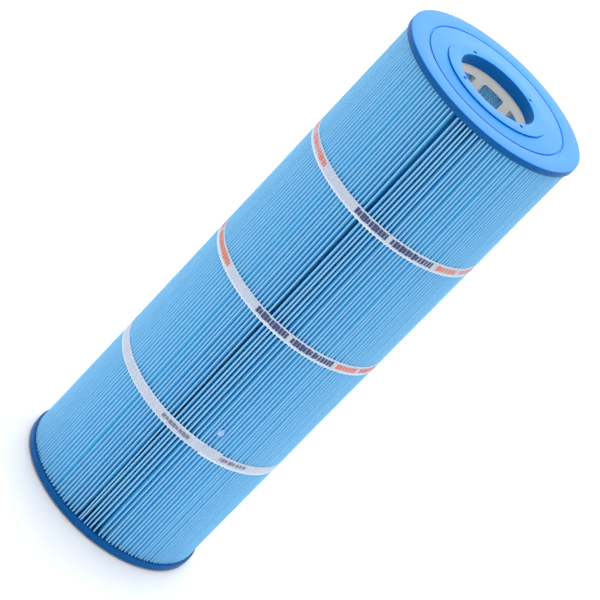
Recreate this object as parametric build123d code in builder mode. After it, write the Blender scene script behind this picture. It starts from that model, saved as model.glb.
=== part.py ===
from build123d import *
from math import cos, radians, sin, sqrt
import os

# Pleated filter cartridge for a pool filter, open at both ends.
# It stands on its lower end cap: +Z runs up the cartridge's axis, and the origin is the
# centre of the lower sealing face. The front of the cartridge, where the media seam is, faces -Y.
# Lengths are millimetres and angles are degrees.

# ---- driving dimensions -------------------------------------------------------------------

cartridge_length = 510.0
cap_radius = 88.9
bore_radius = 38.1

# cast end caps
boss_radius = 51.4
boss_height = 1.5
rim_height = 6.0
rim_rounding = 1.6
groove_radius = 70.0
groove_half_width = 0.8
groove_depth = 1.0
collar_depth = 10.5
bore_lead_in = 0.6
casting_fillet = 0.4
radius_tolerance = 0.2
pin_mark_radius = 1.6
pin_mark_circle = 42.0
pin_mark_count = 4
first_pin_mark_angle = 53.5

# folded media
pleat_count = 155
pleat_tip_reach = 86.7
pleat_valley_centre = 44.0
media_thickness = 0.5
tip_bend = 0.8
valley_bend = 0.75
media_embedment = 4.0

# seam where the two ends of the media sheet meet
seam_angle = -94.5
seam_gap_angle = 4.4
seam_fin_reach = 62.0
seam_bond_thickness = 0.3

# moulded core, stacked from sections
core_inner_radius = 38.7
core_outer_radius = 42.6
core_split_radius = 40.6
core_section_count = 4
core_joint_height = 6.0
window_count = 8
window_rows = 6
window_height = 14.0
window_angle = 30.0
window_corner = 1.5
window_cutter_reach = 43.6
core_end_ring = 7.9

# bands around the pleat tips
band_names = ("lower_band", "middle_band", "upper_band")
band_centres = (134.0, 263.0, 385.8)
band_lap_angles = (-70.2, 96.0, 84.0)
band_width = 10.6
band_thickness = 0.4
band_lap_span = 12.0
band_lap_drop = 1.0

# hot-melt dab above the lower band's lap
dab_angle = -68.0
dab_height = 7.5
dab_width = 4.5
dab_thickness = 1.0
dab_rounding = 0.4
dab_centre = 156.0
string_width = 0.9
string_thickness = 0.5

# ---- sizes worked out from them -----------------------------------------------------------

cap_face = cartridge_length - boss_height
cap_underside = cap_face - rim_height
collar_end = cartridge_length - collar_depth
media_end = cap_underside + media_embedment
tip_centre = pleat_tip_reach - tip_bend
pleat_pitch = (360.0 - seam_gap_angle) / (pleat_count - 1)
ply_inside = seam_bond_thickness / 2
ply_outside = ply_inside + media_thickness
core_wall_length = 2 * collar_end - cartridge_length
section_length = core_wall_length / core_section_count
window_width = (core_inner_radius + core_outer_radius) * sin(radians(window_angle / 2))
window_pitch = (section_length - 2 * core_end_ring - window_height) / (window_rows - 1)


def polar(radius, angle):
    """The point at this radius and angle about the axis."""
    return Vector(radius * cos(radians(angle)), radius * sin(radians(angle)))


# ---- folded media -------------------------------------------------------------------------
# One sheet, folded into pleats round the core. Its section is a chain of creased bends at the
# tips and the valleys, joined by straight flanks. Its two ends turn outwards at the seam and
# stand back to back as a fin, glued to each other.


def flank(tip, valley, tip_radius, valley_radius, side):
    """Both ends of the straight flank that touches a tip bend and a valley bend.
    side is 1 on the tip's anticlockwise side and -1 on its clockwise side."""
    inward = valley - tip
    distance = inward.length
    inward = inward / distance
    across = Vector(inward.Y, -inward.X) * side
    lean = (tip_radius + valley_radius) / distance
    normal = inward * lean + across * sqrt(1 - lean**2)
    return tip + normal * tip_radius, valley - normal * valley_radius


def seam_bend(side):
    """The centre of the valley bend beside the seam fin."""
    offset = ply_outside + valley_bend - media_thickness
    return Vector(sqrt(pleat_valley_centre**2 - offset**2), side * offset)


def media_face(tip_radius, valley_radius, ply_offset):
    """The corners of one face of the sheet, from the end of one seam ply round to the other."""
    tips = [polar(tip_centre, seam_gap_angle / 2 + n * pleat_pitch) for n in range(pleat_count)]
    valleys = [
        polar(pleat_valley_centre, seam_gap_angle / 2 + (n + 0.5) * pleat_pitch)
        for n in range(pleat_count - 1)
    ]
    valleys = [seam_bend(1)] + valleys + [seam_bend(-1)]
    foot = valleys[0].X
    corners = [Vector(seam_fin_reach, ply_offset), Vector(foot, ply_offset)]
    for tip, before, after in zip(tips, valleys, valleys[1:]):
        rise_top, rise_foot = flank(tip, before, tip_radius, valley_radius, -1)
        fall_top, fall_foot = flank(tip, after, tip_radius, valley_radius, 1)
        tip_crease = tip + tip.normalized() * tip_radius
        valley_crease = before - before.normalized() * valley_radius
        corners += [valley_crease, rise_foot, rise_top, tip_crease, fall_top, fall_foot]
    last_crease = valleys[-1] - valleys[-1].normalized() * valley_radius
    corners += [last_crease, Vector(foot, -ply_offset), Vector(seam_fin_reach, -ply_offset)]
    return corners


media_plane = Plane.XY.offset(cartridge_length - media_end).rotated((0, 0, seam_angle))
media_height = 2 * media_end - cartridge_length
outward_face = media_face(tip_bend, valley_bend - media_thickness, ply_outside)
core_side_face = media_face(tip_bend - media_thickness, valley_bend, ply_inside)

with BuildPart() as pleated_media:
    with BuildSketch(media_plane):
        with BuildLine():
            Polyline(*outward_face, *reversed(core_side_face), close=True)
        make_face()
    extrude(amount=media_height)
pleated_media.part.label = "pleated_media"

# The glue line that holds the two plies of the fin together.
bond_length = seam_fin_reach - seam_bend(1).X
with BuildPart() as seam_bond:
    with BuildSketch(media_plane):
        with Locations((seam_fin_reach - bond_length / 2, 0)):
            Rectangle(bond_length, seam_bond_thickness)
    extrude(amount=media_height)
seam_bond.part.label = "seam_bond"

# ---- moulded core -------------------------------------------------------------------------
# Stacked tubes with rows of windows. The upper end of each section carries an outer lip, and
# the section above is rebated to drop into it. The bottom section has a lip at both ends, so
# that a lip is cast into each cap.


def core_lip(height):
    """The sketch of a lip or of the rebate that takes one."""
    with BuildSketch(Plane.XY.offset(height)) as lip:
        Circle(core_outer_radius)
        Circle(core_split_radius, mode=Mode.SUBTRACT)
    return lip.sketch


def core_section(number):
    """One core section, counted from the bottom."""
    foot = cartridge_length - collar_end + number * section_length
    head = foot + section_length
    with BuildPart() as section:
        with BuildSketch(Plane.XY.offset(foot)):
            Circle(core_outer_radius)
            Circle(core_inner_radius, mode=Mode.SUBTRACT)
        extrude(amount=section_length)
        extrude(core_lip(head), amount=core_joint_height)
        if number == 0:
            extrude(core_lip(foot - core_joint_height), amount=core_joint_height)
        else:
            extrude(core_lip(foot), amount=core_joint_height, mode=Mode.SUBTRACT)
        for n in range(window_count // 2):
            facing = Plane.XZ.rotated((0, 0, n * 360 / window_count))
            with BuildSketch(facing):
                with Locations((0, (foot + head) / 2)):
                    with GridLocations(0, window_pitch, 1, window_rows):
                        RectangleRounded(window_width, window_height, window_corner)
            extrude(amount=window_cutter_reach, both=True, mode=Mode.SUBTRACT)
    section.part.label = f"core_section_{number + 1}"
    return section.part


core_sections = [core_section(number) for number in range(core_section_count)]

# ---- cast end caps ------------------------------------------------------------------------
# Urethane poured round the ends of the media and the core, so both are cut out of it.


def cap_blank():
    """The upper cap before anything is cut out of it."""
    with BuildPart() as blank:
        with BuildSketch(Plane.XZ):
            with BuildLine():
                Polyline(
                    (cap_radius - rim_rounding, cap_face),
                    (groove_radius + groove_half_width, cap_face),
                    (groove_radius, cap_face - groove_depth),
                    (groove_radius - groove_half_width, cap_face),
                    (boss_radius, cap_face),
                    (boss_radius, cartridge_length),
                    (bore_radius + bore_lead_in, cartridge_length),
                    (bore_radius, cartridge_length - bore_lead_in),
                    (bore_radius, collar_end),
                    (core_split_radius, collar_end),
                    (core_split_radius, cap_underside),
                    (cap_radius, cap_underside),
                    (cap_radius, cap_face - rim_rounding),
                )
                RadiusArc(
                    (cap_radius, cap_face - rim_rounding),
                    (cap_radius - rim_rounding, cap_face),
                    -rim_rounding,
                )
            make_face()
        revolve(axis=Axis.Z)
        boss_edge = blank.edges().filter_by(GeomType.CIRCLE).filter_by(
            lambda edge: abs(edge.radius - boss_radius) < radius_tolerance
        )
        fillet(boss_edge, casting_fillet)
        with BuildSketch(Plane.XY.offset(cartridge_length)):
            with PolarLocations(pin_mark_circle, pin_mark_count, first_pin_mark_angle):
                Circle(pin_mark_radius)
        extrude(amount=collar_end + core_joint_height - cartridge_length, mode=Mode.SUBTRACT)
    return blank.part


upper_blank = cap_blank()

with BuildPart() as top_end_cap:
    add(upper_blank)
    add(pleated_media.part, mode=Mode.SUBTRACT)
    add(seam_bond.part, mode=Mode.SUBTRACT)
    add(core_sections[-1], mode=Mode.SUBTRACT)
top_end_cap.part.label = "top_end_cap"

with BuildPart() as bottom_end_cap:
    add(mirror(upper_blank, about=Plane.XY.offset(cartridge_length / 2)))
    add(pleated_media.part, mode=Mode.SUBTRACT)
    add(seam_bond.part, mode=Mode.SUBTRACT)
    add(core_sections[0], mode=Mode.SUBTRACT)
bottom_end_cap.part.label = "bottom_end_cap"

# ---- bands --------------------------------------------------------------------------------
# Tapes bonded round the pleat tips. Each one's tail laps over its start and sits a little low.


def band(name, centre, lap_angle):
    """One band with its lap."""
    inner = pleat_tip_reach
    outer = inner + band_thickness
    lap_foot = centre - band_width / 2 - band_lap_drop
    with BuildPart() as tape:
        with BuildSketch(Plane.XY.offset(centre - band_width / 2)):
            Circle(outer)
            Circle(inner, mode=Mode.SUBTRACT)
        extrude(amount=band_width)
        with BuildSketch(Plane.XY.offset(lap_foot).rotated((0, 0, lap_angle))):
            with BuildLine():
                CenterArc((0, 0), outer + band_thickness, 0, band_lap_span)
                CenterArc((0, 0), outer, 0, band_lap_span)
                for end in (0, band_lap_span):
                    Line(polar(outer, end), polar(outer + band_thickness, end))
            make_face()
        extrude(amount=band_width)
    tape.part.label = name
    return tape.part


bands = [band(*values) for values in zip(band_names, band_centres, band_lap_angles)]

# ---- hot-melt dab -------------------------------------------------------------------------
# A blob of glue on the pleat tips, with the string that it drew up from the lower band.

dab_plane = Plane(
    origin=polar(pleat_tip_reach, dab_angle) + Vector(0, 0, dab_centre),
    x_dir=(0, 0, 1),
    z_dir=polar(1, dab_angle),
)
string_foot = band_centres[0] + band_width / 2
string_length = dab_centre - string_foot

with BuildPart() as glue_dab:
    with BuildSketch(dab_plane):
        Ellipse(dab_height / 2, dab_width / 2)
    extrude(amount=dab_thickness)
    outward = Axis(dab_plane.origin, dab_plane.z_dir)
    chamfer(glue_dab.faces().sort_by(outward)[-1].edges(), dab_rounding)
    with BuildSketch(dab_plane):
        with Locations((-string_length / 2, 0)):
            Rectangle(string_length, string_width)
    extrude(amount=string_thickness)
glue_dab.part.label = "glue_dab"

# ---- files --------------------------------------------------------------------------------

os.makedirs("parts", exist_ok=True)
named_parts = [
    pleated_media.part,
    seam_bond.part,
    *core_sections,
    top_end_cap.part,
    bottom_end_cap.part,
    *bands,
    glue_dab.part,
]
for piece in named_parts:
    export_step(piece, f"parts/{piece.label}.step")
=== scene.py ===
import math

import bmesh
import bpy
import numpy as np
from mathutils import Matrix, Vector


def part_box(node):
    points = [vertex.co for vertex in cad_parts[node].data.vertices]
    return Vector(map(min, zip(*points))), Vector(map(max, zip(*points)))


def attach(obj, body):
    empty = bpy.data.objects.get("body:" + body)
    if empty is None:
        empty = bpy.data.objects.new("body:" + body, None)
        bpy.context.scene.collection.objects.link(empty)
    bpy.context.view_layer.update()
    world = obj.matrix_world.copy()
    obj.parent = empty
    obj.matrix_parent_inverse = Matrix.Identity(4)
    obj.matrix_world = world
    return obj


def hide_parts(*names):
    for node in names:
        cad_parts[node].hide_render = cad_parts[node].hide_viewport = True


# Looks of a pleated filter cartridge that stands on its lower end cap, round the Z axis.
# Lengths are metres, written as millimetres times mm. Angles are degrees about the axis, from +X,
# and the seam of the folded media faces -Y.

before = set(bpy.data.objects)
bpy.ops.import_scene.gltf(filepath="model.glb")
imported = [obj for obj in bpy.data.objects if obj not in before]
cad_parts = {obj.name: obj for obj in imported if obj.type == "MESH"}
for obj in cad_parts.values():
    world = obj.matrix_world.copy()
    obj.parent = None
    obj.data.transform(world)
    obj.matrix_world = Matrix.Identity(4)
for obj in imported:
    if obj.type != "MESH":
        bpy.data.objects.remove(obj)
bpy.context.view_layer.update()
core_names = [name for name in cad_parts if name.startswith("core_section")]
rng = np.random.default_rng(155)
mm = 0.001

# ---- sizes --------------------------------------------------------------------------------

cap_foot, cap_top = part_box("top_end_cap")
media_foot, media_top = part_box("pleated_media")

# The end caps. Heights are the top cap's, and the bottom cap mirrors them. A rounding is the
# radius of a rounded corner.
cap_radius = cap_top.x
length = cap_top.z
collar_end = cap_foot.z
boss_height = 1.5 * mm
rim_height = 6.0 * mm
cap_face = length - boss_height
cap_underside = cap_face - rim_height
bore_radius = 38.1 * mm
boss_radius = 51.4 * mm
boss_slope = 0.1 * mm
groove_radius = 70.0 * mm
groove_half_width = 1.0 * mm
groove_floor_half_width = 0.45 * mm
groove_depth = 1.1 * mm
core_split_radius = 40.6 * mm
rim_lower_rounding = 0.7 * mm
rim_upper_rounding = 1.1 * mm
groove_rounding = 0.15 * mm
boss_rounding = 0.35 * mm
bore_mouth_rounding = 0.7 * mm
collar_rounding = 0.5 * mm
collar_root_rounding = 0.2 * mm
rounding_points = 5
cap_segments_per_pleat = 5
cap_sharp_angle = 50

# Urethane climbs each pleat tip a little, from a ring of the cap's underside that follows the tips.
# It fades over a distance across that ring and over an angle, in degrees, on each side of a tip.
wick_ring_inside = 1.2 * mm
wick_ring_outside = 0.5 * mm
wick_ring_rounding = 0.3 * mm
wick_climb = 1.1 * mm
wick_fade = 1.1 * mm
wick_spread = 0.55
underside_margin = 1.0 * mm

pin_mark_radius = 1.75 * mm
pin_mark_circle = 42.0 * mm
pin_mark_depth = 4.4 * mm
pin_mark_angles = (53.5, 143.5, 233.5, 323.5)
pin_mark_sides = 32

# The folded media.
pleat_count = 155
tip_reach = 86.7 * mm
valley_centre = 44.0 * mm
media_thickness = 0.5 * mm
tip_bend = 0.40 * mm
tip_bend_points = 7
valley_bend = 0.5 * mm
valley_bend_points = 3
flank_shares = (0.13, 0.5)
row_beside_cap = 5.5 * mm
row_beside_band = 5.8 * mm
rows_in_span = 3
seam_fin_reach = 62.0 * mm
seam_ply_offset = 0.4 * mm
seam_bond_half_thickness = 0.14 * mm

# The pack of pleats is twisted a little on its way up, and its seam gap opens towards the top.
seam_angle_bottom = -91.9
seam_angle_top = -96.6
seam_gap_bottom = 1.9
seam_gap_top = 4.9

# Places where neighbouring pleats stand apart: the pleat after the gap, counted from the seam,
# and the gap's extra width at the foot and at the head.
loose_gaps = (
    (4, 0.7, 0.0),
    (5, 0.7, 0.0),
    (6, 0.8, 0.0),
    (28, 0.7, 0.3),
    (131, 0.5, 0.5),
    (145, 1.0, 0.4),
)

# How uneven the pleats are, in degrees and in reach, and how far their flanks bow and swell.
# Lean and reach also vary with height, each by its size times random draws between its limits.
pleat_jitter = 0.38
lean_at_caps = 0.22
lean_in_spans = 0.2
lean_at_bands = 0.08
lean_draw_limits = (-1, 1)
reach_variation = 0.2 * mm
reach_draw_limits = (-1, 0.6)
reach_spread = 0.35 * mm
flank_ripple = 0.12 * mm
flank_bow = 2.2 * mm
fold_swell = 0.5
swell_length = 14.0 * mm
bow_fades_over = 8

# The bands. The tape comes down from its own lap over the ramp, and dips between the pleat tips.
band_names = ("lower_band", "middle_band", "upper_band")
band_lap_angles = (-70.2, 96.0, 84.0)
band_width = 10.6 * mm
band_thickness = 0.34 * mm
band_edge_bevel = 0.15 * mm
band_edge_flat_share = 0.4
band_scallop = 0.55 * mm
scallop_sharpness = 1.5
band_neck = 0.06
band_lap_span = 12.0
band_ramp_span = 4.0
band_rise = 1.1 * mm
band_wander = 0.12 * mm
band_wander_waves = 5
band_rings_per_pleat = 8

# The glue dab and the string that it drew.
dab_angle = -68.0
dab_height = 7.5 * mm
dab_width = 4.5 * mm
dab_thickness = 1.9 * mm
dab_lumpiness = 0.16
dab_lump_waves = (9, 5, 8)
dab_subdivisions = 4
string_radius = 0.22 * mm
string_flare = 0.8
string_overlap = 0.6 * mm
string_sway = 0.5 * mm
string_half_waves = 1.5
string_lift = 0.3 * mm
string_ring_count = 12
string_sides = 10


# ---- small tools --------------------------------------------------------------------------


def unit(angles):
    """Unit vectors in the XY plane at these angles, in radians."""
    return np.stack([np.cos(angles), np.sin(angles)], axis=-1)


def grid_faces(rows, columns, wrap_rows=False, wrap_columns=False):
    """The quads of a grid of points stored row by row, which may close on itself both ways."""
    down = np.arange(rows if wrap_rows else rows - 1)
    along = np.arange(columns if wrap_columns else columns - 1)
    row, column = (axis.ravel() for axis in np.meshgrid(down, along, indexing="ij"))
    next_row = (row + 1) % rows
    next_column = (column + 1) % columns
    corners = [
        row * columns + column,
        row * columns + next_column,
        next_row * columns + next_column,
        next_row * columns + column,
    ]
    return np.stack(corners, axis=1)


def mesh_object(name, points, faces):
    """A smooth-shaded mesh object with its normals turned outwards."""
    mesh = bpy.data.meshes.new(name)
    mesh.from_pydata(np.reshape(points, (-1, 3)).tolist(), [], [list(face) for face in faces])
    build = bmesh.new()
    build.from_mesh(mesh)
    bmesh.ops.recalc_face_normals(build, faces=build.faces)
    build.to_mesh(mesh)
    build.free()
    mesh.shade_smooth()
    made = bpy.data.objects.new(name, mesh)
    bpy.context.scene.collection.objects.link(made)
    return made


def finish_piece(piece, material, slot, *replaced):
    """Gives a new piece its material, hangs it on the root and hides the CAD nodes that it stands
    for. The slot is not used.
    """
    piece.data.materials.append(material)
    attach(piece, "root")
    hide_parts(*replaced)


def tube_between(rings):
    """Points and faces of a closed skin through rings of points, with flat ends."""
    rows, columns = rings.shape[:2]
    faces = grid_faces(rows, columns, wrap_columns=True).tolist()
    faces.append(list(range(columns)))
    faces.append(list(range((rows - 1) * columns, rows * columns)))
    return rings, faces


# ---- material tools -----------------------------------------------------------------------

# The sockets that Blender's Mix node uses for colours.
mix_factor_input = 0
mix_first_input = 6
mix_second_input = 7
mix_colour_output = 2


class Look:
    """A procedural material under construction. Sockets take numbers, colours or other nodes."""

    def __init__(self, name):
        self.material = bpy.data.materials.new(name)
        self.material.use_nodes = True
        self.tree = self.material.node_tree
        self.shader = self.tree.nodes["Principled BSDF"]
        self.place = self.add("ShaderNodeTexCoord").outputs["Object"]

    def put(self, socket, value):
        """Links a node to a socket, or sets the socket's own value."""
        if isinstance(value, bpy.types.NodeSocket):
            self.tree.links.new(value, socket)
        else:
            socket.default_value = value

    def add(self, kind, settings=None, **inputs):
        """A new node with these settings and inputs. An underscore stands for a space."""
        node = self.tree.nodes.new(kind)
        for name, value in (settings or {}).items():
            setattr(node, name, value)
        for name, value in inputs.items():
            self.put(node.inputs[name.replace("_", " ")], value)
        return node

    def math(self, operation, *values):
        """The result of a Math node."""
        node = self.add("ShaderNodeMath", {"operation": operation})
        for socket, value in zip(node.inputs, values):
            self.put(socket, value)
        return node.outputs[0]

    def between(self, value, low, high, softness):
        """1 where value lies between low and high, and 0 outside, with soft edges."""
        rise = self.ramp(value, low - softness, low + softness, 0.0, 1.0)
        fall = self.ramp(value, high - softness, high + softness, 1.0, 0.0)
        return self.math("MULTIPLY", rise, fall)

    def ramp(self, value, low, high, from_low, to_high):
        """A value between low and high, mapped to the range from from_low to to_high."""
        node = self.add("ShaderNodeMapRange")
        for name, number in (
            ("Value", value),
            ("From Min", low),
            ("From Max", high),
            ("To Min", from_low),
            ("To Max", to_high),
        ):
            self.put(node.inputs[name], number)
        return node.outputs[0]

    def stretched(self, x, y, z):
        """Object space, scaled along each axis."""
        mapping = self.add("ShaderNodeMapping", Vector=self.place)
        mapping.inputs["Scale"].default_value = (x, y, z)
        return mapping.outputs[0]

    def radius(self):
        """The distance from the cartridge's axis."""
        x, y, _ = self.add("ShaderNodeSeparateXYZ", Vector=self.place).outputs
        squares = [self.math("MULTIPLY", axis, axis) for axis in (x, y)]
        return self.math("SQRT", self.math("ADD", *squares))

    def noise(self, vector, scale, detail, roughness):
        """Noise between 0 and 1."""
        node = self.add(
            "ShaderNodeTexNoise", Vector=vector, Scale=scale, Detail=detail, Roughness=roughness
        )
        return node.outputs["Fac"]

    def mix(self, factor, first, second):
        """A colour between the first, where the factor is 0, and the second."""
        node = self.add("ShaderNodeMix", {"data_type": "RGBA"})
        self.put(node.inputs[mix_factor_input], factor)
        self.put(node.inputs[mix_first_input], first)
        self.put(node.inputs[mix_second_input], second)
        return node.outputs[mix_colour_output]

    def bump(self, height, distance, strength, below=None):
        """A bumped normal, on top of the bump below it if there is one."""
        node = self.add("ShaderNodeBump", Height=height, Distance=distance, Strength=strength)
        if below is not None:
            self.put(node.inputs["Normal"], below)
        return node.outputs[0]

    def set(self, **inputs):
        """Sets the shader's inputs and gives the finished material."""
        for name, value in inputs.items():
            self.put(self.shader.inputs[name.replace("_", " ")], value)
        return self.material


# ---- materials ----------------------------------------------------------------------------

# Painted light: the saturated blue between the folds stands in for light bounced between them and
# through the sheet.
painted_glow_blues = ((0.006, 0.63, 0.88, 1), (0.014, 0.68, 0.91, 1))
# The paler blue is a painted sheen on the tips, and the sheet's plain blue at the core side.
sheet_and_sheen_blues = ((0.19, 0.51, 0.80, 1), (0.24, 0.57, 0.85, 1))
fibre_blue = (0.34, 0.64, 0.91, 1)
painted_sheen_from = 79.0 * mm
painted_sheen_to = 86.0 * mm
core_side_from = 44.0 * mm
core_side_to = 50.0 * mm


def spunbond():
    """Blue spunbond polyester: matt, with drawn fibres, bond points and faint streaks.
    Between the folds it carries a painted glow, a more saturated blue that stands in for light
    bounced between the folds and through the sheet. On the tips it carries a painted sheen, a paler
    blue, and at the core side the sheet keeps that paler blue."""
    look = Look("spunbond_polyester")
    streaks = look.noise(look.stretched(260.0, 260.0, 9.0), scale=1.0, detail=4.0, roughness=0.6)
    mottle = look.noise(look.place, scale=900.0, detail=4.0, roughness=0.65)
    fibres = look.noise(look.stretched(2600.0, 2600.0, 420.0), scale=1.0, detail=3.0, roughness=0.7)
    points = look.add("ShaderNodeTexVoronoi", Vector=look.place, Scale=1100.0).outputs["Distance"]
    # The painted glow for the hollows between the folds.
    painted_glow = look.mix(streaks, *painted_glow_blues)
    pale = look.mix(streaks, *sheet_and_sheen_blues)
    pale = look.mix(look.ramp(mottle, 0.35, 0.75, 0.0, 0.3), pale, fibre_blue)
    radius = look.radius()
    # Painted sheen: the tips turn paler towards the outside.
    painted_sheen_at_tips = look.ramp(radius, painted_sheen_from, painted_sheen_to, 0.0, 1.0)
    at_core = look.ramp(radius, core_side_from, core_side_to, 1.0, 0.0)
    pale_share = look.math("MAXIMUM", look.math("MULTIPLY", painted_sheen_at_tips, painted_sheen_at_tips), at_core)
    colour = look.mix(pale_share, painted_glow, pale)
    normal = look.bump(points, distance=0.05 * mm, strength=0.5)
    normal = look.bump(fibres, distance=0.08 * mm, strength=0.8, below=normal)
    return look.set(
        Base_Color=colour,
        Roughness=look.ramp(mottle, 0.2, 0.8, 0.62, 0.82),
        Specular_IOR_Level=0.15,
        Sheen_Weight=0.1,
        Sheen_Roughness=0.5,
        Normal=normal,
    )


urethane_blues = ((0.0012, 0.082, 0.285, 1), (0.0025, 0.100, 0.330, 1))


def urethane():
    """Cast blue urethane: satin, a little cloudy, with a skin that isn't quite flat."""
    look = Look("cast_urethane")
    cloud = look.noise(look.place, scale=38.0, detail=4.0, roughness=0.55)
    grain = look.noise(look.place, scale=1500.0, detail=3.0, roughness=0.6)
    swirl = look.noise(look.place, scale=120.0, detail=2.0, roughness=0.5)
    colour = look.mix(cloud, *urethane_blues)
    normal = look.bump(swirl, distance=0.12 * mm, strength=0.35)
    normal = look.bump(grain, distance=0.03 * mm, strength=0.35, below=normal)
    return look.set(
        Base_Color=colour,
        Roughness=look.ramp(grain, 0.3, 0.7, 0.30, 0.42),
        Specular_IOR_Level=0.1,
        Normal=normal,
    )


core_off_whites = ((0.60, 0.58, 0.545, 1), (0.66, 0.65, 0.62, 1))


def core_plastic():
    """Off-white moulded polypropylene with a fine texture."""
    look = Look("moulded_core")
    cloud = look.noise(look.place, scale=45.0, detail=3.0, roughness=0.5)
    grain = look.noise(look.place, scale=1800.0, detail=3.0, roughness=0.6)
    colour = look.mix(cloud, *core_off_whites)
    return look.set(
        Base_Color=colour,
        Roughness=look.ramp(grain, 0.3, 0.7, 0.38, 0.52),
        Normal=look.bump(grain, distance=0.05 * mm, strength=0.4),
    )


glue_milks = ((0.25, 0.41, 0.74, 1), (0.38, 0.52, 0.81, 1))


def hot_melt():
    """Milky, glossy hot-melt glue."""
    look = Look("hot_melt_glue")
    cloud = look.noise(look.place, scale=420.0, detail=3.0, roughness=0.6)
    colour = look.mix(cloud, *glue_milks)
    return look.set(
        Base_Color=colour,
        Roughness=look.ramp(cloud, 0.3, 0.7, 0.22, 0.4),
        Normal=look.bump(cloud, distance=0.2 * mm, strength=0.5),
    )


tape_milks = ((0.42, 0.51, 0.66, 1), (0.54, 0.57, 0.67, 1))
tape_edge_milk = (0.66, 0.78, 0.92, 1)
tape_edge_from = 3.6 * mm
tape_edge_to = 5.2 * mm

navy_ink = (0.009, 0.028, 0.13, 1)
orange_ink = (0.60, 0.15, 0.10, 1)
grey_ink = (0.15, 0.17, 0.24, 1)
navy_words = ((0.0, 22.5), (25.0, 54.0))
orange_words = ((57.0, 74.0), (76.5, 107.0))
grey_words = ((0.0, 20.0), (41.0, 60.5))
word_softness = 0.02
block_width_shares = (0.78, 0.97)
block_half_height_shares = (0.38, 0.5)

# Each print: its ink, its rows of blocks as spans in degrees, the room for one block in degrees,
# and the height of its tallest blocks.
navy_print = (navy_ink, navy_words, 2.1, 6.5 * mm)
orange_print = (orange_ink, orange_words, 2.3, 5.8 * mm)
grey_print = (grey_ink, grey_words, 2.5, 4.2 * mm)

# Each band's prints, from the lower band up: the angle where they start, the angle after which
# they repeat, and the prints.
band_prints = (
    (-99.0, 360.0, (grey_print,)),
    (-101.7, 138.0, (navy_print, orange_print)),
    (-100.0, 138.0, (navy_print, orange_print)),
)


def printed_blocks(look, angle, height, words, cell, block_height):
    """A mask of plain blocks, in one row for each word that the real band carries."""
    cell_number = look.math("DIVIDE", angle, cell)
    whole = look.math("FLOOR", cell_number)
    part = look.math("FRACT", cell_number)
    chance = look.add("ShaderNodeTexWhiteNoise", {"noise_dimensions": "1D"}, W=whole)
    width = look.ramp(chance.outputs["Value"], 0.0, 1.0, *block_width_shares)
    in_width = look.math("LESS_THAN", part, width)
    half_heights = [block_height * share for share in block_half_height_shares]
    half_height = look.ramp(chance.outputs["Value"], 0.0, 1.0, *half_heights)
    in_height = look.math("LESS_THAN", look.math("ABSOLUTE", height), half_height)
    block = look.math("MULTIPLY", in_width, in_height)
    shown = None
    for start, end in words:
        word = look.between(angle, start, end, word_softness)
        shown = word if shown is None else look.math("MAXIMUM", shown, word)
    return look.math("MULTIPLY", block, shown)


def tape(name, centre, lap_angle, print_start, print_period, prints):
    """Milky band tape with pale edges, and generic blocks printed on its outer face."""
    look = Look(name)
    x, y, z = look.add("ShaderNodeSeparateXYZ", Vector=look.place).outputs
    turned = look.math("DEGREES", look.math("ARCTAN2", y, x))
    along = look.math("WRAP", turned, lap_angle + 360.0, lap_angle)
    start = lap_angle + (print_start - lap_angle) % 360.0
    angle = look.math("WRAP", look.math("SUBTRACT", along, start), print_period, 0.0)
    height = look.math("SUBTRACT", z, centre)
    cloud = look.noise(look.place, scale=260.0, detail=3.0, roughness=0.6)
    weave = look.noise(look.stretched(500.0, 500.0, 3200.0), scale=1.0, detail=2.0, roughness=0.6)
    edge = look.ramp(look.math("ABSOLUTE", height), tape_edge_from, tape_edge_to, 0.0, 1.0)
    colour = look.mix(cloud, *tape_milks)
    colour = look.mix(edge, colour, tape_edge_milk)
    scuffs = look.noise(look.place, scale=1400.0, detail=3.0, roughness=0.7)
    wear = look.ramp(scuffs, 0.3, 0.5, 0.8, 1.0)
    for ink, words, cell, block_height in prints:
        mask = printed_blocks(look, angle, height, words, cell, block_height)
        colour = look.mix(look.math("MULTIPLY", mask, wear), colour, ink)
    return look.set(
        Base_Color=colour,
        Roughness=look.ramp(cloud, 0.3, 0.7, 0.35, 0.5),
        Normal=look.bump(weave, distance=0.04 * mm, strength=0.5),
    )


floor_whites = ((0.91, 0.91, 0.91, 1), (0.94, 0.94, 0.94, 1))


def pale_floor():
    """A plain pale floor with a trace of unevenness."""
    look = Look("pale_floor")
    cloud = look.noise(look.place, scale=3.0, detail=3.0, roughness=0.5)
    return look.set(
        Base_Color=look.mix(cloud, *floor_whites),
        Roughness=0.9,
        Specular_IOR_Level=0.1,
    )


# ---- layout of the pleats -----------------------------------------------------------------


def band_centre(name):
    """The height of a band's middle where it's highest, at the end of the tape under its lap."""
    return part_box(name)[1].z - band_width / 2


band_centres = [band_centre(name) for name in band_names]
held_at = [media_foot.z, *band_centres, media_top.z]
span_middles = [(low + high) / 2 for low, high in zip(held_at, held_at[1:])]


def along_media(bottom, top, heights):
    """A value that changes evenly from the media's foot to its head."""
    return np.interp(heights, (media_foot.z, media_top.z), (bottom, top))


def wandering(heights, at_caps, at_bands, in_spans, draws):
    """Random values for each pleat that change gently with height: rows by pleats.
    They're smallest where the bands hold the pleats."""
    knots = sorted(held_at + span_middles)
    sizes = [at_caps, *[in_spans, at_bands] * len(band_names), in_spans, at_caps]
    values = draws * np.array(sizes)[:, None]
    columns = [np.interp(heights, knots, column) for column in values.T]
    return np.stack(columns, axis=1)


knot_count = len(held_at) + len(span_middles)
jitter = rng.uniform(-pleat_jitter, pleat_jitter, pleat_count)
shortness = rng.uniform(0, reach_spread, pleat_count)
lean_draws = rng.uniform(*lean_draw_limits, (knot_count, pleat_count))
reach_draws = rng.uniform(*reach_draw_limits, (knot_count, pleat_count))


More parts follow.
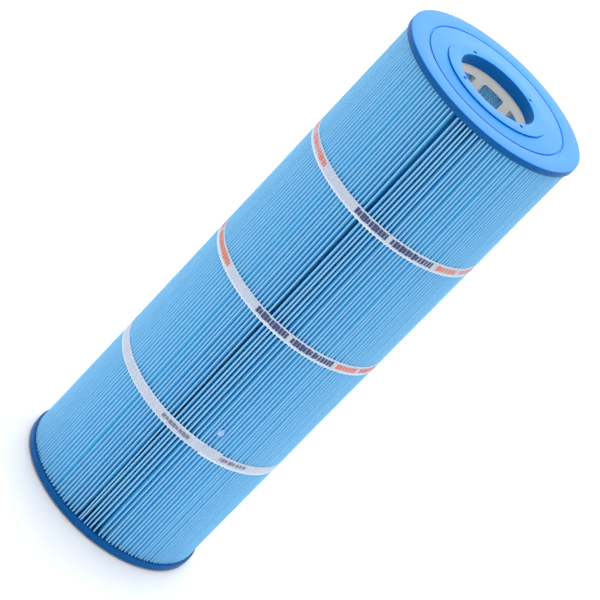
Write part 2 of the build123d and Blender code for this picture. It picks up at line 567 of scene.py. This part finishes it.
def tip_angles(heights):
    """Where each pleat's tip stands at these heights, in radians: rows by pleats."""
    centre = along_media(seam_angle_bottom, seam_angle_top, heights)
    gap = along_media(seam_gap_bottom, seam_gap_top, heights)
    number = np.arange(pleat_count)
    extra = sum(
        np.outer(along_media(bottom, top, heights), number >= after)
        for after, bottom, top in loose_gaps
    )
    pitch = (360.0 - gap - extra[:, -1]) / (pleat_count - 1)
    even = (centre + gap / 2)[:, None] + np.outer(pitch, number) + extra
    lean = wandering(heights, lean_at_caps, lean_at_bands, lean_in_spans, lean_draws)
    return np.radians(even + jitter + lean)


def tip_reaches(heights):
    """How far out each pleat's tip stands at these heights: rows by pleats."""
    wander = wandering(heights, reach_variation, 0.0, reach_variation, reach_draws)
    return tip_reach - shortness + wander


# ---- folded media -------------------------------------------------------------------------


def flank_normal(tips, valleys, side):
    """The direction from a tip's centre to where the flank on that side leaves its bend."""
    run = valleys - tips
    distance = np.linalg.norm(run, axis=-1, keepdims=True)
    inward = run / distance
    across = np.stack([inward[..., 1], -inward[..., 0]], axis=-1) * side
    lean = (tip_bend + valley_bend) / distance
    return inward * lean + across * np.sqrt(1 - lean**2)


def bend(centres, radius, facing, start, end, point_count):
    """Points round a bend from direction start to direction end, by way of the angle facing."""
    turns = []
    for direction in (start, end):
        turn = np.arctan2(direction[..., 1], direction[..., 0]) - facing
        turns.append((turn + np.pi) % (2 * np.pi) - np.pi)
    shares = np.linspace(0, 1, point_count)
    angles = facing[..., None] + turns[0][..., None] * (1 - shares) + turns[1][..., None] * shares
    return centres[..., None, :] + unit(angles) * radius


def swell_at(heights):
    """The share of the way to the middle of a gap that the folds beside it swell, at these
    heights. The caps pinch them at both ends."""
    from_cap = np.minimum(heights - media_foot.z, media_top.z - heights)
    return fold_swell * np.clip(from_cap / swell_length, 0, 1)


def flank_points(start, end, gap_angle, ripple, swell):
    """Points on a flank between its ends. The flank wanders to one side by its ripple, and
    swells by a share of the way to the middle of the gap beside it."""
    run = end - start
    across = np.stack([run[..., 1], -run[..., 0]], axis=-1)
    across = across / np.linalg.norm(across, axis=-1, keepdims=True)
    points = []
    for share in flank_shares:
        straight = start + run * share + across * ripple[..., None] * share
        middle = unit(gap_angle) * np.linalg.norm(straight, axis=-1, keepdims=True)
        points.append(straight + (middle - straight) * swell[:, None, None])
    return np.stack(points, axis=-2)


def bow_shares():
    """How much each pleat's flanks bow to one side: all alike, but straighter up to the seam."""
    left_to_seam = pleat_count - 1 - np.arange(pleat_count)
    return np.minimum(left_to_seam / bow_fades_over, 1)


def media_path(heights):
    """The middle line of the folded sheet at these heights: rows by points, in the XY plane."""
    tip_angle = tip_angles(heights)
    seam = np.radians(along_media(seam_angle_bottom, seam_angle_top, heights))
    tips = unit(tip_angle) * (tip_reaches(heights) - tip_bend)[..., None]
    between = (tip_angle[:, 1:] + tip_angle[:, :-1]) / 2
    seam_side = math.asin((seam_ply_offset + valley_bend) / valley_centre)
    valley_angle = np.column_stack([seam + seam_side, between, seam + 2 * np.pi - seam_side])
    valleys = unit(valley_angle) * valley_centre
    rise = flank_normal(tips, valleys[:, :-1], -1)
    fall = flank_normal(tips, valleys[:, 1:], 1)
    along_seam = unit(seam)[:, None]
    across_seam = np.stack([-along_seam[..., 1], along_seam[..., 0]], axis=-1)
    arriving = np.concatenate([-across_seam, -fall], axis=1)
    leaving = np.concatenate([-rise, across_seam], axis=1)
    valley_facing = valley_angle + np.pi
    valley_arcs = bend(valleys, valley_bend, valley_facing, arriving, leaving, valley_bend_points)
    tip_arcs = bend(tips, tip_bend, tip_angle, rise, fall, tip_bend_points)
    ripples = rng.uniform(-flank_ripple, flank_ripple, (2, *tip_angle.shape))
    ripples += flank_bow * bow_shares()
    swell = swell_at(heights)
    rising = flank_points(
        tip_arcs[..., 0, :], valley_arcs[:, :-1, -1], valley_angle[:, :-1], ripples[0], swell
    )[..., ::-1, :]
    falling = flank_points(
        tip_arcs[..., -1, :], valley_arcs[:, 1:, 0], valley_angle[:, 1:], ripples[1], swell
    )
    pleats = np.concatenate([valley_arcs[:, :-1], rising, tip_arcs, falling], axis=2)
    pleats = pleats.reshape(len(heights), -1, 2)
    fin_end = along_seam * seam_fin_reach
    fin_foot = along_seam * valley_centre
    ply = across_seam * seam_ply_offset
    return np.concatenate(
        [
            fin_end + ply,
            fin_foot + ply,
            pleats,
            valley_arcs[:, -1],
            fin_foot - ply,
            fin_end - ply,
        ],
        axis=1,
    )


def media_heights():
    """The heights at which the media is shaped: at its ends, beside each band and between."""
    rows = [media_foot.z, media_foot.z + row_beside_cap]
    for centre in band_centres:
        rows += [centre - row_beside_band, centre + row_beside_band]
    rows += [media_top.z - row_beside_cap, media_top.z]
    for low, high in zip(rows[1:-1:2], rows[2::2]):
        rows += list(np.linspace(low, high, rows_in_span + 2)[1:-1])
    return np.array(sorted(rows))


def folded_media():
    """The whole filter sheet, closed, with its real thickness."""
    heights = media_heights()
    path = media_path(heights)
    run = np.gradient(path, axis=1)
    outward = np.stack([run[..., 1], -run[..., 0]], axis=-1)
    outward /= np.linalg.norm(outward, axis=-1, keepdims=True)
    rows, columns = path.shape[:2]
    level = np.broadcast_to(heights[:, None, None], (rows, columns, 1))
    outside = np.concatenate([path + outward * media_thickness / 2, level], axis=-1)
    inside = np.concatenate([path - outward * media_thickness / 2, level], axis=-1)
    count = rows * columns
    order = np.arange(count).reshape(rows, columns)
    faces = grid_faces(rows, columns).tolist()
    faces += (grid_faces(rows, columns)[:, ::-1] + count).tolist()
    for edge in (order[0], order[-1], order[:, 0], order[:, -1]):
        strip = [edge[:-1], edge[1:], edge[1:] + count, edge[:-1] + count]
        faces += np.stack(strip, axis=1).tolist()
    points = np.concatenate([outside.reshape(-1, 3), inside.reshape(-1, 3)])
    piece = mesh_object("folded_filter_media", points, faces)
    finish_piece(piece, spunbond(), "media", "pleated_media")


def seam_glue_line(material):
    """The thin line of glue between the two plies of the seam fin."""
    heights = media_heights()
    seam = np.radians(along_media(seam_angle_bottom, seam_angle_top, heights))
    along = unit(seam)
    across = np.stack([-along[:, 1], along[:, 0]], axis=-1) * seam_bond_half_thickness
    ends = [along * valley_centre, along * seam_fin_reach]
    corners = [ends[0] - across, ends[1] - across, ends[1] + across, ends[0] + across]
    rings = np.stack([np.column_stack([corner, heights]) for corner in corners], axis=1)
    piece = mesh_object("seam_glue_line", *tube_between(rings))
    finish_piece(piece, material, "hot_melt", "seam_bond")


# ---- end caps -----------------------------------------------------------------------------


def rounded_outline(corners):
    """A closed outline through (radius, height, rounding) corners, with each corner rounded."""
    outline = []
    corners_before = corners[-1:] + corners[:-1]
    corners_after = corners[1:] + corners[:1]
    for before, corner, after in zip(corners_before, corners, corners_after):
        point = Vector(corner[:2])
        back = (Vector(before[:2]) - point).normalized()
        ahead = (Vector(after[:2]) - point).normalized()
        half_turn = back.angle(ahead) / 2
        reach = corner[2] / math.tan(half_turn)
        start = point + back * reach
        end = point + ahead * reach
        for share in np.linspace(0, 1, rounding_points):
            first = start.lerp(point, share)
            outline.append(first.lerp(point.lerp(end, share), share))
    return outline


def cap_outline():
    """The top cap's section, from the outer rim over the face and down the bore."""
    groove_floor = cap_face - groove_depth
    corners = [
        (cap_radius, cap_underside, rim_lower_rounding),
        (cap_radius, cap_face, rim_upper_rounding),
        (groove_radius + groove_half_width, cap_face, groove_rounding),
        (groove_radius + groove_floor_half_width, groove_floor, groove_rounding),
        (groove_radius - groove_floor_half_width, groove_floor, groove_rounding),
        (groove_radius - groove_half_width, cap_face, groove_rounding),
        (boss_radius + boss_slope, cap_face, groove_rounding),
        (boss_radius, length, boss_rounding),
        (bore_radius, length, bore_mouth_rounding),
        (bore_radius, collar_end, collar_rounding),
        (core_split_radius, collar_end, collar_rounding),
        (core_split_radius, cap_underside, collar_root_rounding),
        (tip_reach - wick_ring_inside, cap_underside, wick_ring_rounding),
        (tip_reach + wick_ring_outside, cap_underside, wick_ring_rounding),
    ]
    return rounded_outline(corners)


def wicked_height(radius, angles, tips):
    """How far the urethane climbs the pleat tips below the cap, at a radius and these angles."""
    spread = math.radians(wick_spread)
    ring = math.exp(-(((radius - tip_reach) / wick_fade) ** 2))
    gaps = np.abs((angles[:, None] - tips[None, :] + np.pi) % (2 * np.pi) - np.pi).min(axis=1)
    return wick_climb * ring * np.exp(-((gaps / spread) ** 2))


def end_cap(name, node, flipped, material):
    """One cast cap: a turned body with urethane drawn up the pleats and four pin marks."""
    segments = pleat_count * cap_segments_per_pleat
    angles = np.linspace(0, 2 * np.pi, segments, endpoint=False)
    tips = tip_angles(np.array([media_foot.z if flipped else media_top.z]))[0]
    columns = []
    for radius, height in cap_outline():
        ring = np.column_stack([unit(angles) * radius, np.full(segments, height)])
        is_low = height < cap_underside + underside_margin
        is_outside_collar = radius > core_split_radius + underside_margin
        if is_low and is_outside_collar:
            ring[:, 2] -= wicked_height(radius, angles, tips)
        columns.append(ring)
    points = np.stack(columns, axis=1)
    if flipped:
        points[..., 2] = length - points[..., 2]
    piece = mesh_object(name, points, grid_faces(*points.shape[:2], True, True).tolist())
    cut_pin_marks(piece, flipped)
    piece.data.set_sharp_from_angle(angle=math.radians(cap_sharp_angle))
    finish_piece(piece, material, "urethane", node)


def cut_pin_marks(piece, flipped):
    """Cuts the four round marks that the mould's locating pins leave in the boss."""
    build = bmesh.new()
    for angle in pin_mark_angles:
        place = Vector((*(unit(math.radians(angle)) * pin_mark_circle), 0 if flipped else length))
        bmesh.ops.create_cone(
            build,
            cap_ends=True,
            segments=pin_mark_sides,
            radius1=pin_mark_radius,
            radius2=pin_mark_radius,
            depth=2 * pin_mark_depth,
            matrix=Matrix.Translation(place),
        )
    mesh = bpy.data.meshes.new("pin_cutter")
    build.to_mesh(mesh)
    build.free()
    cutter = bpy.data.objects.new("pin_cutter", mesh)
    bpy.context.scene.collection.objects.link(cutter)
    cut = piece.modifiers.new("pin_marks", "BOOLEAN")
    cut.operation = "DIFFERENCE"
    cut.solver = "EXACT"
    cut.object = cutter
    graph = bpy.context.evaluated_depsgraph_get()
    cut_mesh = bpy.data.meshes.new_from_object(piece.evaluated_get(graph))
    piece.modifiers.clear()
    piece.data = cut_mesh
    bpy.data.objects.remove(cutter)


# ---- bands --------------------------------------------------------------------------------


def sag_between_tips(angles, height):
    """0 where a pleat tip carries the tape, up to 1 halfway between two tips."""
    tips = np.sort(tip_angles(np.array([height]))[0] % (2 * np.pi))
    tips = np.concatenate([tips[-1:] - 2 * np.pi, tips, tips[:1] + 2 * np.pi])
    place = angles % (2 * np.pi)
    after = np.searchsorted(tips, place, side="right")
    share = (place - tips[after - 1]) / (tips[after] - tips[after - 1])
    return np.sin(np.pi * share) ** scallop_sharpness


def tape_section():
    """The tape's outline across its width, as (up, out) from its middle, with bevelled edges."""
    half = band_width / 2
    thick = band_thickness / 2
    flat = band_edge_flat_share * thick
    return [
        (half - band_edge_bevel, thick),
        (half, flat),
        (half, -flat),
        (half - band_edge_bevel, -thick),
        (-half + band_edge_bevel, -thick),
        (-half, -flat),
        (-half, flat),
        (-half + band_edge_bevel, thick),
        (-half / 3, thick),
        (half / 3, thick),
    ]


def band(name, lap_angle, material):
    """One tape wound once round the pleats, with one end lapped over the other."""
    centre = band_centre(name)
    turn = math.radians(360.0 + band_lap_span)
    travelled = np.linspace(0, turn, pleat_count * band_rings_per_pleat)
    angles = math.radians(lap_angle) + travelled
    lap = math.radians(band_lap_span)
    ramp = math.radians(band_ramp_span)
    on_top = 1 - np.clip((travelled - lap) / ramp, 0, 1)
    sag = sag_between_tips(angles, centre)
    radius = tip_reach + band_thickness * (0.5 + on_top) - band_scallop * sag
    middle = centre - band_rise * (1 - travelled / turn)
    middle = middle + band_wander * np.sin(angles * band_wander_waves)
    lines = []
    for up, out in tape_section():
        around = unit(angles) * (radius + out)[:, None]
        lines.append(np.column_stack([around, middle + up * (1 - band_neck * sag)]))
    rings = np.stack(lines, axis=1)
    piece = mesh_object(f"{name}_tape", *tube_between(rings))
    finish_piece(piece, material, "band_tape", name)


# ---- hot-melt dab -------------------------------------------------------------------------


def glue_dab(material):
    """A small uneven blob of glue on the pleat tips, with the string it drew from the band."""
    angle = math.radians(dab_angle)
    outward = np.array([*unit(angle), 0])
    sideways = np.array([-outward[1], outward[0], 0])
    size = np.array([dab_thickness, dab_width, dab_height])
    centre = outward * tip_reach + np.array([0, 0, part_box("glue_dab")[1].z - dab_height / 2])
    build = bmesh.new()
    bmesh.ops.create_icosphere(build, subdivisions=dab_subdivisions, radius=0.5)
    ball = np.array([vertex.co[:] for vertex in build.verts])
    faces = [[vertex.index for vertex in face.verts] for face in build.faces]
    build.free()
    x, y, z = ball.T
    x_waves, z_waves, y_waves = dab_lump_waves
    lump = 1 + dab_lumpiness * np.sin(x_waves * x + z_waves * z) * np.cos(y_waves * y)
    blob = centre + ball * lump[:, None] * size @ np.array([outward, sideways, (0, 0, 1)])
    string, string_faces = tube_between(string_rings(centre, outward, sideways))
    points = np.concatenate([blob, string.reshape(-1, 3)])
    faces += [[corner + len(blob) for corner in face] for face in string_faces]
    piece = mesh_object("glue_dab_blob", points, faces)
    finish_piece(piece, material, "hot_melt", "glue_dab")


def string_rings(blob_centre, outward, sideways):
    """Rings of points along the string, from the lower band's edge up into the blob."""
    foot = band_centre("lower_band") + band_width / 2 - string_overlap
    shares = np.linspace(0, 1, string_ring_count)
    sway = string_sway * np.sin(np.pi * shares * string_half_waves)
    reach = tip_reach + string_radius + string_lift * (1 - shares)
    middles = np.outer(reach, outward) + np.outer(sway, sideways)
    middles[:, 2] = np.linspace(foot, blob_centre[2], string_ring_count)
    radii = string_radius * (1 + string_flare * (1 - np.sin(np.pi * shares)) ** 2)
    around = np.linspace(0, 2 * np.pi, string_sides, endpoint=False)
    rings = middles[:, None] + np.zeros((1, len(around), 3))
    rings[..., :2] += unit(around)[None] * radii[:, None, None]
    return rings


# ---- stage --------------------------------------------------------------------------------

camera_elevation = 24.80
camera_distance = 2.825
camera_roll = 43.93
camera_lens = 203.9
camera_sensor = 36.0
camera_far_limit = 100.0
camera_aim = Vector((3.0 * mm, 0.0, length / 2))

floor_radius = 30.0
floor_sides = 96
floor_gap = 0.1 * mm

surroundings_strength = 1.05
diffuse_bounces = 12

# Each softbox: its azimuth, elevation, distance, width, height and power. Azimuth 0 is the
# camera's side.
softboxes = {
    "top_softbox": (180, 85, 0.61, 0.28, 0.28, 4.6),
    "back_softbox": (180, 27, 1.8, 2.0, 1.2, 13),
    "left_softbox": (-95, 25, 2.0, 1.2, 2.0, 1),
    "right_softbox": (95, 25, 2.0, 1.2, 2.0, 1),
}


def floor():
    """A wide pale disc, a hair below the cartridge's lower face."""
    build = bmesh.new()
    bmesh.ops.create_circle(build, cap_ends=True, segments=floor_sides, radius=floor_radius)
    mesh = bpy.data.meshes.new("floor")
    build.to_mesh(mesh)
    build.free()
    made = bpy.data.objects.new("floor", mesh)
    made.location.z = -floor_gap
    bpy.context.scene.collection.objects.link(made)
    made.data.materials.append(pale_floor())


def softbox(name, azimuth, elevation, distance, width, height, power):
    """An area light that faces the cartridge's middle."""
    turn = math.radians(azimuth)
    lift = math.radians(elevation)
    toward = Vector(
        (math.sin(turn) * math.cos(lift), -math.cos(turn) * math.cos(lift), math.sin(lift))
    )
    light = bpy.data.lights.new(name, "AREA")
    light.shape = "RECTANGLE"
    light.size = width
    light.size_y = height
    light.energy = power
    made = bpy.data.objects.new(name, light)
    made.location = camera_aim + toward * distance
    made.rotation_euler = toward.to_track_quat("Z", "Y").to_euler()
    made.visible_camera = False
    bpy.context.scene.collection.objects.link(made)


def camera():
    """The camera, tipped so that the cartridge leans across the picture."""
    lift = math.radians(camera_elevation)
    back = Vector((0, -math.cos(lift), math.sin(lift)))
    level = Matrix((Vector((1, 0, 0)), back.cross(Vector((1, 0, 0))), back)).transposed()
    rolled = Matrix.Rotation(math.radians(camera_roll), 3, back) @ level
    data = bpy.data.cameras.new("camera")
    data.lens = camera_lens
    data.sensor_width = camera_sensor
    data.clip_end = camera_far_limit
    made = bpy.data.objects.new("camera", data)
    made.matrix_world = Matrix.LocRotScale(camera_aim + back * camera_distance, rolled, None)
    bpy.context.scene.collection.objects.link(made)
    bpy.context.scene.camera = made


def studio():
    """White surroundings, with soft light from above, behind and both sides."""
    world = bpy.data.worlds.new("studio")
    world.use_nodes = True
    background = world.node_tree.nodes["Background"]
    background.inputs["Color"].default_value = (1, 1, 1, 1)
    background.inputs["Strength"].default_value = surroundings_strength
    bpy.context.scene.world = world
    for name, setting in softboxes.items():
        softbox(name, *setting)
    bpy.context.scene.cycles.diffuse_bounces = diffuse_bounces
    bpy.context.scene.view_settings.view_transform = "Standard"


# ---- assembly -----------------------------------------------------------------------------

glue = hot_melt()
cap_material = urethane()
plastic = core_plastic()

folded_media()
seam_glue_line(glue)
end_cap("top_cap_cast", "top_end_cap", False, cap_material)
end_cap("bottom_cap_cast", "bottom_end_cap", True, cap_material)
for name, lap_angle, printing in zip(band_names, band_lap_angles, band_prints):
    tape_material = tape(f"{name}_print", band_centre(name), lap_angle, *printing)
    band(name, lap_angle, tape_material)
glue_dab(glue)

for name in core_names:
    core_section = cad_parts[name]
    core_section.data.materials.clear()
    core_section.data.materials.append(plastic)

floor()
studio()
camera()
